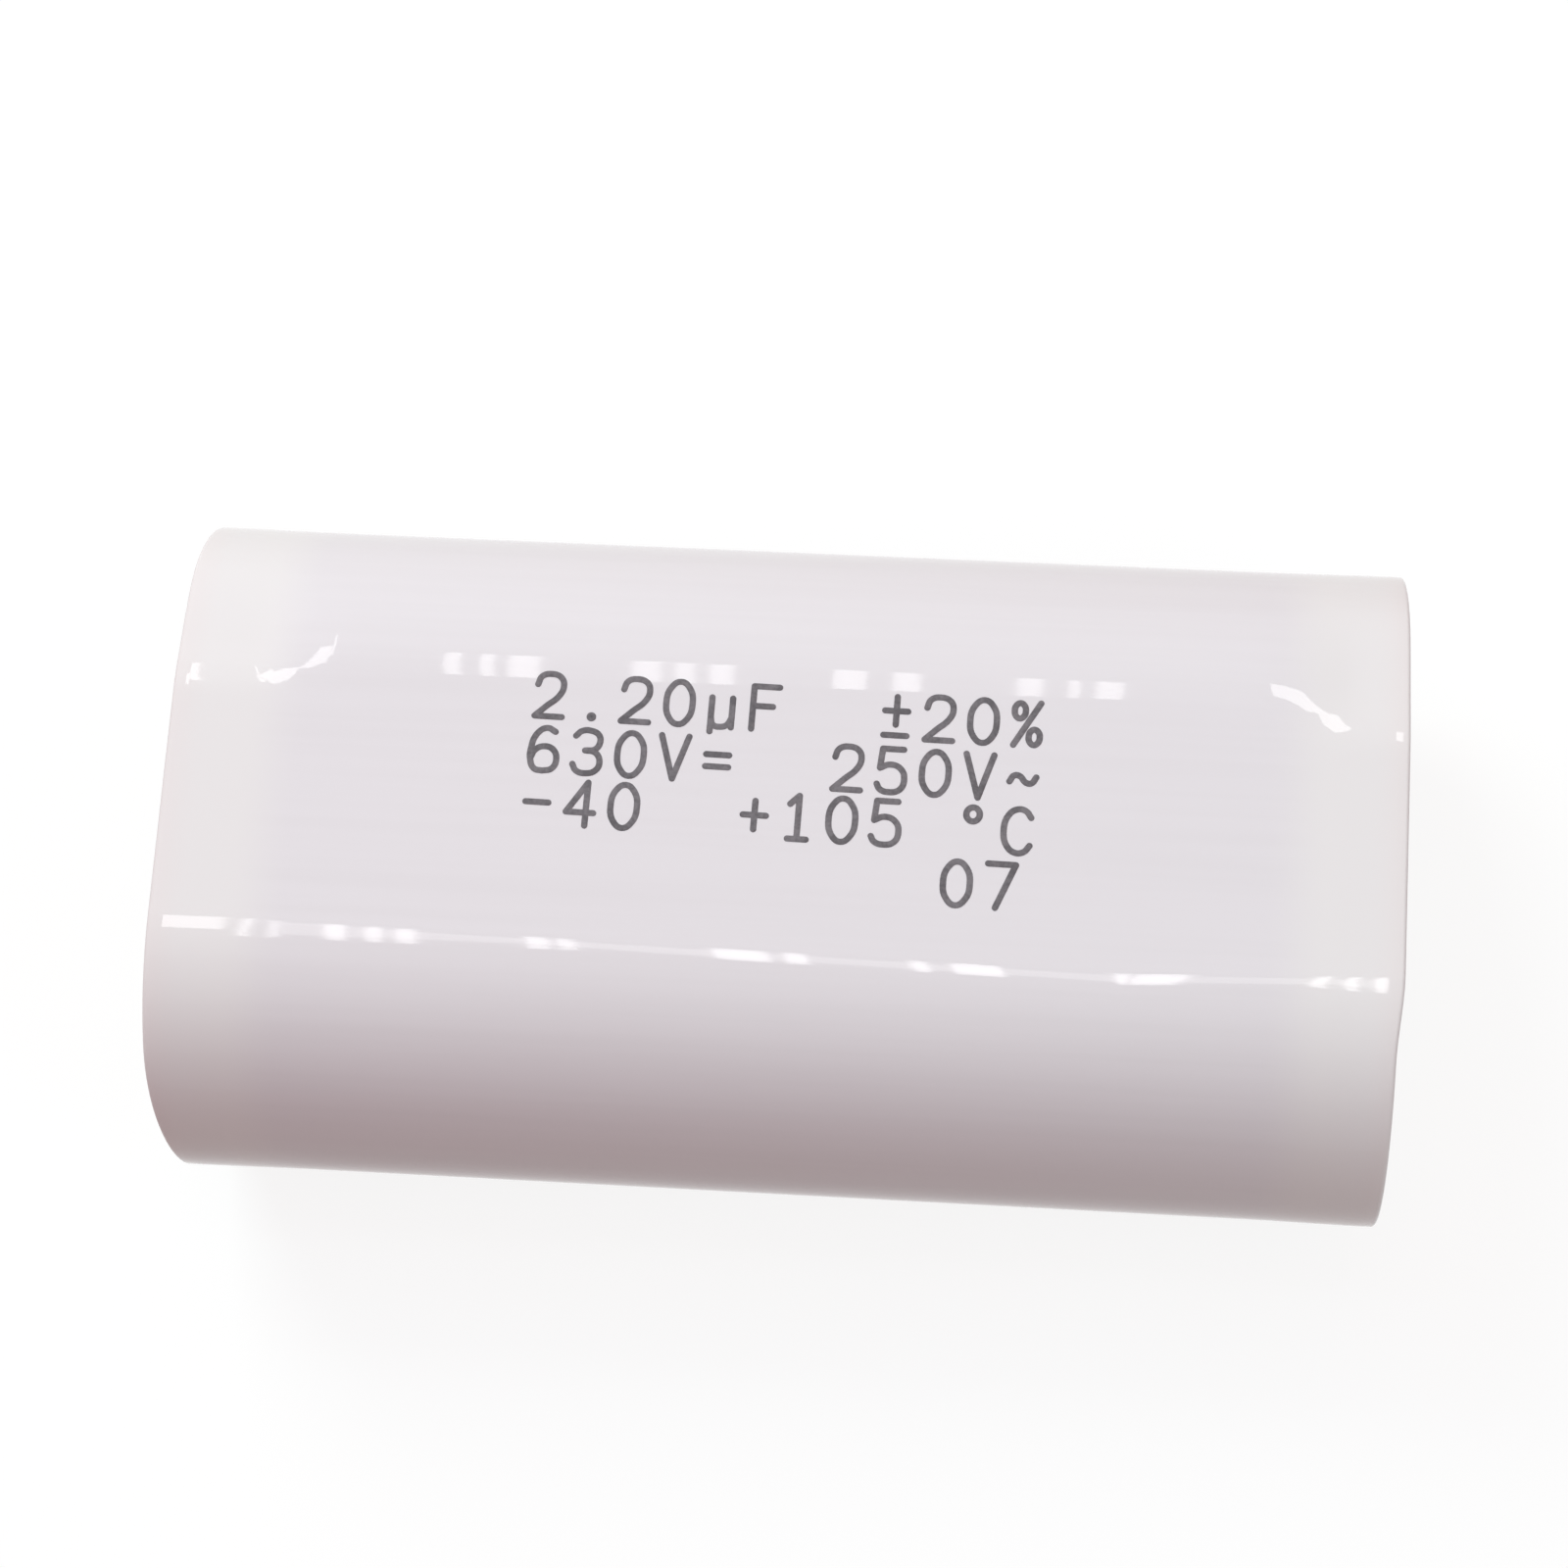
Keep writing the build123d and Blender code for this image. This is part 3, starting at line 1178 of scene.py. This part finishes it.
SIGNS: dict[str, tuple[Stroke, ...]] = {
    "0": (loop(0.5, 0.5, 0.48, 0.5),),
    "1": (line((0.18, 0.8), (0.5, 1.0), (0.5, 0.0)), line((0.16, 0.0), (0.84, 0.0))),
    "2": (
        bow(
            (0.02, 0.74), (0.14, 0.93), (0.48, 1.0), (0.86, 0.92),
            (0.97, 0.72), (0.84, 0.5), (0.4, 0.24), (0.0, 0.0),
        ),
        line((0.0, 0.0), (1.0, 0.0)),
    ),
    "3": (
        bow((0.04, 0.86), (0.25, 0.98), (0.55, 1.0), (0.88, 0.9), (0.93, 0.72), (0.78, 0.57), (0.42, 0.53)),
        bow((0.42, 0.53), (0.8, 0.49), (0.98, 0.28), (0.86, 0.08), (0.5, 0.0), (0.15, 0.05), (0.0, 0.2)),
    ),
    "4": (line((0.72, 0.0), (0.72, 1.0), (0.0, 0.3), (1.0, 0.3)),),
    "5": (
        line((0.9, 1.0), (0.14, 1.0), (0.08, 0.55)),
        bow(
            (0.08, 0.55), (0.45, 0.64), (0.85, 0.54), (0.98, 0.3),
            (0.84, 0.07), (0.45, 0.0), (0.12, 0.06), (0.0, 0.18),
        ),
    ),
    "6": (
        bow((0.86, 0.92), (0.55, 1.0), (0.2, 0.86), (0.02, 0.5), (0.03, 0.25), (0.2, 0.04), (0.5, 0.0)),
        bow((0.5, 0.0), (0.84, 0.06), (0.98, 0.28), (0.84, 0.5), (0.5, 0.57), (0.18, 0.48), (0.03, 0.28)),
    ),
    "7": (line((0.0, 1.0), (1.0, 1.0), (0.35, 0.0)),),
    ".": (loop(0.5, 0.05, 0.06, 0.035),),
    "µ": (
        line((0.1, 0.68), (0.1, -0.12)),
        bow((0.1, 0.22), (0.2, 0.04), (0.45, 0.0), (0.7, 0.05), (0.86, 0.22)),
        line((0.86, 0.68), (0.86, 0.0)),
    ),
    "F": (line((0.02, 0.0), (0.02, 1.0), (0.95, 1.0)), line((0.02, 0.54), (0.75, 0.54))),
    "V": (line((0.0, 1.0), (0.5, 0.0), (1.0, 1.0)),),
    "C": (
        bow(
            (0.96, 0.82), (0.76, 0.97), (0.46, 1.0), (0.15, 0.86), (0.0, 0.5),
            (0.15, 0.14), (0.46, 0.0), (0.76, 0.03), (0.96, 0.18),
        ),
    ),
    "±": (
        line((0.5, 0.95), (0.5, 0.3)),
        line((0.08, 0.62), (0.92, 0.62)),
        line((0.08, 0.05), (0.92, 0.05)),
    ),
    "%": (line((0.96, 1.0), (0.04, 0.0)), loop(0.22, 0.8, 0.2, 0.18), loop(0.78, 0.2, 0.2, 0.18)),
    "=": (line((0.08, 0.62), (0.92, 0.62)), line((0.08, 0.34), (0.92, 0.34))),
    "~": (bow((0.02, 0.42), (0.2, 0.57), (0.4, 0.55), (0.6, 0.42), (0.8, 0.4), (0.98, 0.55)),),
    "-": (line((0.08, 0.48), (0.92, 0.48)),),
    "+": (line((0.5, 0.82), (0.5, 0.16)), line((0.08, 0.49), (0.92, 0.49))),
    "°": (loop(0.45, 0.82, 0.24, 0.16),),
}


@dataclass
class RatingPrint:
    """Printed rating on the top flat: signs that name a value, a voltage and a temperature range."""

    # Rows as text, and the centre of the first sign along X and back from the middle
    rows: tuple[tuple[str, float, float], ...] = (
        ("2.20µF  ±20%", -8.79, 4.21),
        ("630V=  250V~", -8.85, 2.10),
        ("-40  +105 °C", -8.95, 0.09),
        ("07", 6.66, -2.29),
    )
    # A sign's box, the step from sign to sign, the turn of the rows and the width of a stroke
    sign_width: float = 1.02
    sign_height: float = 1.66
    pitch: float = 1.613
    slope: float = -0.94
    stroke: float = 0.235
    # Round end of a stroke: how far out, in half strokes, and how wide there
    tip_shares: tuple[tuple[float, float], ...] = ((0.96, 0.25), (0.75, 0.65), (0.4, 0.92), (0.0, 1.0))
    # How far the middle of the ink lies above the tape, and its thickness as a share of the stroke's width
    proud: float = 0.007
    flatness: float = 0.08
    curve_steps: int = 5
    bevel_steps: int = 2
    hard_angle: float = 60.0

    def corner(self, row: tuple[str, float, float], index: int) -> tuple[Vector, Vector, Vector]:
        """Where a sign is drawn.

        Args:
            row: The row.
            index: The sign's number in the row.

        Returns:
            The lower left corner of the sign's box, and the directions along and up its row.
        """
        _, first, back = row
        along = Vector((cos(radians(self.slope)), sin(radians(self.slope)), 0))
        up = Vector((-along.y, along.x, 0))
        centre = Vector((first, back, 0)) + along * (index * self.pitch)
        return centre - along * (self.sign_width / 2) - up * (self.sign_height / 2), along, up

    def pen_run(self, curve: bpy.types.Curve, first: Vector, last: Vector, way: Vector) -> None:
        """Add a straight run with round ends to the curve.

        Args:
            curve: The curve that holds every stroke.
            first: Where the run starts.
            last: Where it stops, which is the same place for a dot.
            way: Direction of the run.
        """
        half = self.stroke / 2
        tips = [(-out * half, wide) for out, wide in self.tip_shares]
        stations = [(first + way * out, wide) for out, wide in tips]
        far_tips = tips[:-1] if first == last else tips
        stations += [(last - way * out, wide) for out, wide in reversed(far_tips)]
        spline = curve.splines.new("POLY")
        spline.points.add(len(stations) - 1)
        for point, (place, wide) in zip(spline.points, stations):
            point.co = (*(place * MM), 1.0)
            point.radius = wide

    def draw(
        self, curve: bpy.types.Curve, stroke: Stroke, corner: Vector, along: Vector, up: Vector
    ) -> None:
        """Add one stroke to the curve.

        Args:
            curve: The curve that holds every stroke.
            stroke: The stroke.
            corner: Lower left corner of the sign's box.
            along: Direction along the row.
            up: Direction up the sign.
        """
        places = [
            corner + along * (across * self.sign_width) + up * (high * self.sign_height)
            for across, high in stroke.shares
        ]
        if not stroke.smooth:
            for first, last in zip(places, places[1:]):
                self.pen_run(curve, first, last, (last - first).normalized())
            return
        spline = curve.splines.new("BEZIER")
        spline.bezier_points.add(len(places) - 1)
        spline.use_cyclic_u = stroke.closed
        spline.resolution_u = self.curve_steps
        for point, place in zip(spline.bezier_points, places):
            point.co = place * MM
            point.handle_left_type = "AUTO"
            point.handle_right_type = "AUTO"
        if not stroke.closed:
            for tip, before in ((places[0], places[1]), (places[-1], places[-2])):
                self.pen_run(curve, tip, tip, (tip - before).normalized())

    def build(self, material: bpy.types.Material) -> bpy.types.Object:
        """Draw every sign, press the strokes flat on the tape and dress them.

        Args:
            material: The ink.

        Returns:
            The finished print.
        """
        deselect_all()
        bpy.ops.curve.primitive_bezier_curve_add()
        pen = bpy.context.object
        pen.data.splines.clear()
        pen.data.dimensions = "3D"
        pen.data.bevel_depth = self.stroke / 2 * MM
        pen.data.bevel_resolution = self.bevel_steps
        pen.data.use_fill_caps = True
        for row in self.rows:
            for index, sign in enumerate(row[0]):
                for stroke in SIGNS.get(sign, ()):
                    self.draw(pen.data, stroke, *self.corner(row, index))
        take(pen)
        bpy.ops.object.convert(target="MESH")
        bpy.context.object.scale = (1.0, 1.0, self.flatness)
        bpy.context.object.location = (0.0, 0.0, (BODY_THICKNESS + self.proud) * MM)
        ink = settle("rating_print")
        smooth(ink, self.hard_angle)
        fit_out(ink, "marking_ink", material)
        return ink


@dataclass(frozen=True)
class PhotoCamera:
    """Camera at the photograph's place, turned and tilted as it was."""

    # Its place: the distance from the middle of the body, the rise from the floor and the swing to the right
    distance: float = 156.3
    elevation: float = 74.14
    yaw: float = 14.38
    # Its turn about the line of sight, then how it is turned aside and up from the body
    turn: float = -11.11
    pan: float = -0.077
    tilt: float = 1.228
    lens: float = 93.05
    sensor: float = 36.0
    nearest: float = 5.0

    def axes(self) -> tuple[Vector, Vector, Vector, Vector]:
        """Axes of the camera.

        Returns:
            The direction from the object to the camera, and the camera's own right, up and back axes.
        """
        rise, swing = radians(self.elevation), radians(self.yaw)
        turn, pan, tilt = radians(self.turn), radians(self.pan), radians(self.tilt)
        back = Vector((sin(swing) * cos(rise), -cos(swing) * cos(rise), sin(rise)))
        right = Vector((cos(swing), sin(swing), 0))
        up = back.cross(right)
        turned_right = right * cos(turn) + up * sin(turn)
        turned_up = up * cos(turn) - right * sin(turn)
        panned_right = turned_right * cos(pan) + back * sin(pan)
        panned_back = back * cos(pan) - turned_right * sin(pan)
        tilted_up = turned_up * cos(tilt) + panned_back * sin(tilt)
        tilted_back = panned_back * cos(tilt) - turned_up * sin(tilt)
        return back, panned_right, tilted_up, tilted_back

    @property
    def place(self) -> Vector:
        """Where the camera stands, in millimetres."""
        return Vector((0, 0, MIDDLE_HEIGHT)) + self.axes()[0] * self.distance

    def build(self) -> bpy.types.Object:
        """Set up the camera and make it the scene's own.

        Returns:
            The camera.
        """
        _, right, up, back = self.axes()
        data = bpy.data.cameras.new("photo_camera")
        data.sensor_width = self.sensor
        data.lens = self.lens
        data.clip_start = self.nearest * MM
        camera = bpy.data.objects.new("photo_camera", data)
        turned = Matrix((right, up, back)).transposed().to_4x4()
        camera.matrix_world = Matrix.Translation(self.place * MM) @ turned
        bpy.context.scene.collection.objects.link(camera)
        bpy.context.scene.camera = camera
        return camera


def add_lamp(
    name: str, place: Vector, away: Vector, size: tuple[float, float], radiance: Colour
) -> bpy.types.Object:
    """Set up a rectangular lamp.

    Args:
        name: Name of the lamp.
        place: Where it hangs, in metres.
        away: Direction from the object to the lamp.
        size: Width and height in metres.
        radiance: Brightness of each colour, where 1 is white.

    Returns:
        The lamp.
    """
    data = bpy.data.lights.new(name, "AREA")
    data.shape = "RECTANGLE"
    data.size, data.size_y = size
    peak = max(radiance)
    data.color = [part / peak for part in radiance]
    data.energy = peak * pi * size[0] * size[1]
    lamp = bpy.data.objects.new(name, data)
    lamp.visible_camera = False
    back = away.normalized()
    across = (Vector((1, 0, 0)) - back * back.x).normalized()
    turned = Matrix((across, back.cross(across), back)).transposed().to_4x4()
    lamp.matrix_world = Matrix.Translation(place) @ turned
    bpy.context.scene.collection.objects.link(lamp)
    return lamp


def lamp_strip(first: float, width: float, count: int) -> Lamps:
    """Lamps side by side, by the middle of the first, the width of each and their number."""
    return tuple((first + width * step, width) for step in range(count))


# Where the two creases of the upper flat lie, back and up
BACK_CREASE = (5.2, 15.38)
FRONT_CREASE = (-5.4, 15.38)


@dataclass(frozen=True)
class LampRow:
    """Row of small bright lamps that one crease mirrors to the camera as a broken line."""

    name: str
    crease: tuple[float, float]
    # How far the crease's normal leans to the back where it mirrors the row
    lean: float
    # How far the row's height turns the normal that mirrors it
    spread: float
    radiance: float
    # Where along the crease each lamp is mirrored, and how wide
    lamps: Lamps
    reach: float = 500.0

    def build(self, camera: PhotoCamera) -> None:
        """Set up the lamps of the row.

        Args:
            camera: The camera that sees them in the crease.
        """
        normal = Vector((0, sin(radians(self.lean)), cos(radians(self.lean))))
        high = 2 * self.reach * tan(radians(self.spread)) * MM
        for along, width in self.lamps:
            spot = Vector((along, *self.crease))
            sight = spot - camera.place
            wide = width * (1 + self.reach / sight.length) * MM
            ray = sight.normalized().reflect(normal)
            add_lamp(self.name, (spot + ray * self.reach) * MM, ray, (wide, high), (self.radiance,) * 3)


@dataclass(frozen=True)
class SoftLamp:
    """Square soft lamp close to the object, which lights it and doesn't show in its gloss."""

    name: str
    place: tuple[float, float, float]
    size: float
    radiance: Colour

    def build(self) -> None:
        """Set up the lamp, turned to the middle of the floor."""
        place = Vector(self.place) * MM
        lamp = add_lamp(self.name, place, place, (self.size * MM, self.size * MM), self.radiance)
        lamp.visible_glossy = False


@dataclass
class Studio:
    """Pale floor, soft dome, soft lamps behind and beside the object, and small lamps for its gloss."""

    camera: PhotoCamera = PhotoCamera()
    dome: Colour = (0.440, 0.275, 0.275)
    soft_lamps: tuple[SoftLamp, ...] = (
        SoftLamp("key_lamp", (-130.0, 170.0, 200.0), 140.0, (6.70, 7.75, 7.25)),
        SoftLamp("top_lamp", (-120.0, 80.0, 250.0), 140.0, (0.62, 1.55, 1.95)),
        SoftLamp("side_lamp", (100.0, -50.0, 100.0), 100.0, (0.87, 1.52, 1.48)),
    )
    floor_size: float = 6000.0
    floor_paint: Colour = (0.16, 0.16, 0.16)
    floor_glow: float = 0.86
    floor_bounce: Colour = (0.10, 0.07, 0.06)
    rows: tuple[LampRow, ...] = (
        LampRow(
            "upper_row_lamp", BACK_CREASE, lean=3.8, spread=6.2, radiance=4.0,
            lamps=(
                (-12.6, 0.6), (-11.3, 0.5), (-9.9, 1.2), (-5.3, 1.0), (-3.9, 0.7), (-2.5, 0.9),
                (2.3, 1.2), (4.4, 1.0), (8.9, 0.9), (10.5, 0.4), (11.8, 1.0),
            ),
        ),
        LampRow(
            "lower_row_lamp", FRONT_CREASE, lean=-3.4, spread=4.6, radiance=5.2,
            lamps=(
                (-19.2, 0.4), (-18.2, 0.3), (-16.1, 0.7), (-14.7, 0.6), (-13.5, 0.7), (-8.7, 0.8),
                (-7.6, 0.6), (-1.2, 2.0), (0.8, 0.8), (5.4, 0.6), (7.5, 1.8), (12.8, 0.8), (14.5, 2.1),
                (20.3, 0.5), (21.4, 0.4), (22.4, 0.4),
            ),
        ),
        LampRow("left_block_lamp", BACK_CREASE, lean=8.0, spread=6.0, radiance=4.0, lamps=((-22.5, 0.8),)),
        LampRow("left_blot_lamp", BACK_CREASE, lean=5.5, spread=4.4, radiance=4.0, lamps=((-26.1, 5.8),)),
        LampRow("right_blot_lamp", BACK_CREASE, lean=7.3, spread=3.4, radiance=4.0, lamps=((32.0, 12.0),)),
        LampRow("left_dash_lamp", FRONT_CREASE, lean=-2.6, spread=2.8, radiance=4.4, lamps=((-21.5, 2.9),)),
        LampRow(
            "lower_strip_lamp", FRONT_CREASE, lean=-3.4, spread=2.6, radiance=1.5,
            lamps=lamp_strip(-17.0, 2.0, 21), reach=520.0,
        ),
    )

    def seen_white(self, desk: Desk) -> bpy.types.NodeSocket:
        """Tell what the camera sees from what only lights the object.

        Args:
            desk: The node tree's desk.

        Returns:
            A share that is 1 for what the camera sees, directly, in gloss or through glass.
        """
        path = desk.add("ShaderNodeLightPath").outputs
        seen = desk.math("MAXIMUM", path["Is Camera Ray"], path["Is Glossy Ray"])
        return desk.math("MAXIMUM", seen, path["Is Transmission Ray"])

    def build_world(self) -> None:
        """Even dome of light that shows as plain white."""
        world = bpy.data.worlds.new("white_dome")
        world.use_nodes = True
        world.node_tree.nodes.clear()
        desk = Desk(world.node_tree)
        light = desk.add("ShaderNodeBackground", {"Color": rgba(self.dome), "Strength": 1.0})
        white = desk.add("ShaderNodeBackground", {"Color": WHITE, "Strength": 1.0})
        shown = {0: self.seen_white(desk), 1: light.outputs[0], 2: white.outputs[0]}
        mixed = desk.add("ShaderNodeMixShader", shown)
        desk.add("ShaderNodeOutputWorld", {"Surface": mixed.outputs[0]})
        bpy.context.scene.world = world

    def build_floor(self) -> bpy.types.Object:
        """White floor that takes a faint shadow and throws little light back up.

        Returns:
            The floor.
        """
        deselect_all()
        bpy.ops.mesh.primitive_plane_add(size=self.floor_size * MM, location=(0, 0, 0))
        floor = bpy.context.object
        floor.name = "floor"
        paper = bpy.data.materials.new("white floor")
        paper.use_nodes = True
        paper.node_tree.nodes.clear()
        paper.cycles.emission_sampling = "NONE"
        desk = Desk(paper.node_tree)
        paint = desk.add("ShaderNodeBsdfDiffuse", {"Color": rgba(self.floor_paint)})
        glow = desk.add("ShaderNodeEmission", {"Color": WHITE, "Strength": self.floor_glow})
        sheet = desk.add("ShaderNodeAddShader", {0: paint.outputs[0], 1: glow.outputs[0]})
        bounce = desk.add("ShaderNodeBsdfDiffuse", {"Color": rgba(self.floor_bounce)})
        shown = {0: self.seen_white(desk), 1: bounce.outputs[0], 2: sheet.outputs[0]}
        mixed = desk.add("ShaderNodeMixShader", shown)
        desk.add("ShaderNodeOutputMaterial", {"Surface": mixed.outputs[0]})
        floor.data.materials.append(paper)
        return floor

    def build(self) -> None:
        """Set up the floor, the light and the camera."""
        bpy.context.scene.view_settings.view_transform = "Standard"
        self.build_world()
        self.build_floor()
        for lamp in self.soft_lamps:
            lamp.build()
        for row in self.rows:
            row.build(self.camera)
        self.camera.build()
        log.info("studio: floor, dome, soft lamps, lamp rows and camera")


def dress_inside(effects: Effects) -> None:
    """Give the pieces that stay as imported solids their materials.

    Args:
        effects: The shared node groups.
    """
    spray = SPRAYED_ZINC.material(effects)
    solder = SMOOTH_SOLDER.material(effects)
    dressed = {"winding": MetallizedFilm().material(effects)}
    for end in End:
        dressed[end.named("end_spray")] = spray
        dressed[end.named("solder")] = solder
    for name, material in dressed.items():
        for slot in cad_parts[name].material_slots:
            slot.material = material
        log.info("%s: packed solid with its own material", name)


def main() -> None:
    """Build the pieces in order, then the studio round them."""
    logging.basicConfig(level=logging.INFO, format="%(name)s: %(message)s")
    effects = Effects()
    sleeve = TapeSleeve()
    sleeve.build(TapeFilm().material(effects))
    resin = CastResin().material(effects)
    wire = TinnedWire().material(effects)
    for end in End:
        ResinEnd(sleeve).build(end, resin)
        CroppedLead().build(end, wire)
    RatingPrint().build(PrintedInk().material(effects))
    dress_inside(effects)
    Studio().build()


if __name__ == "__main__":
    main()
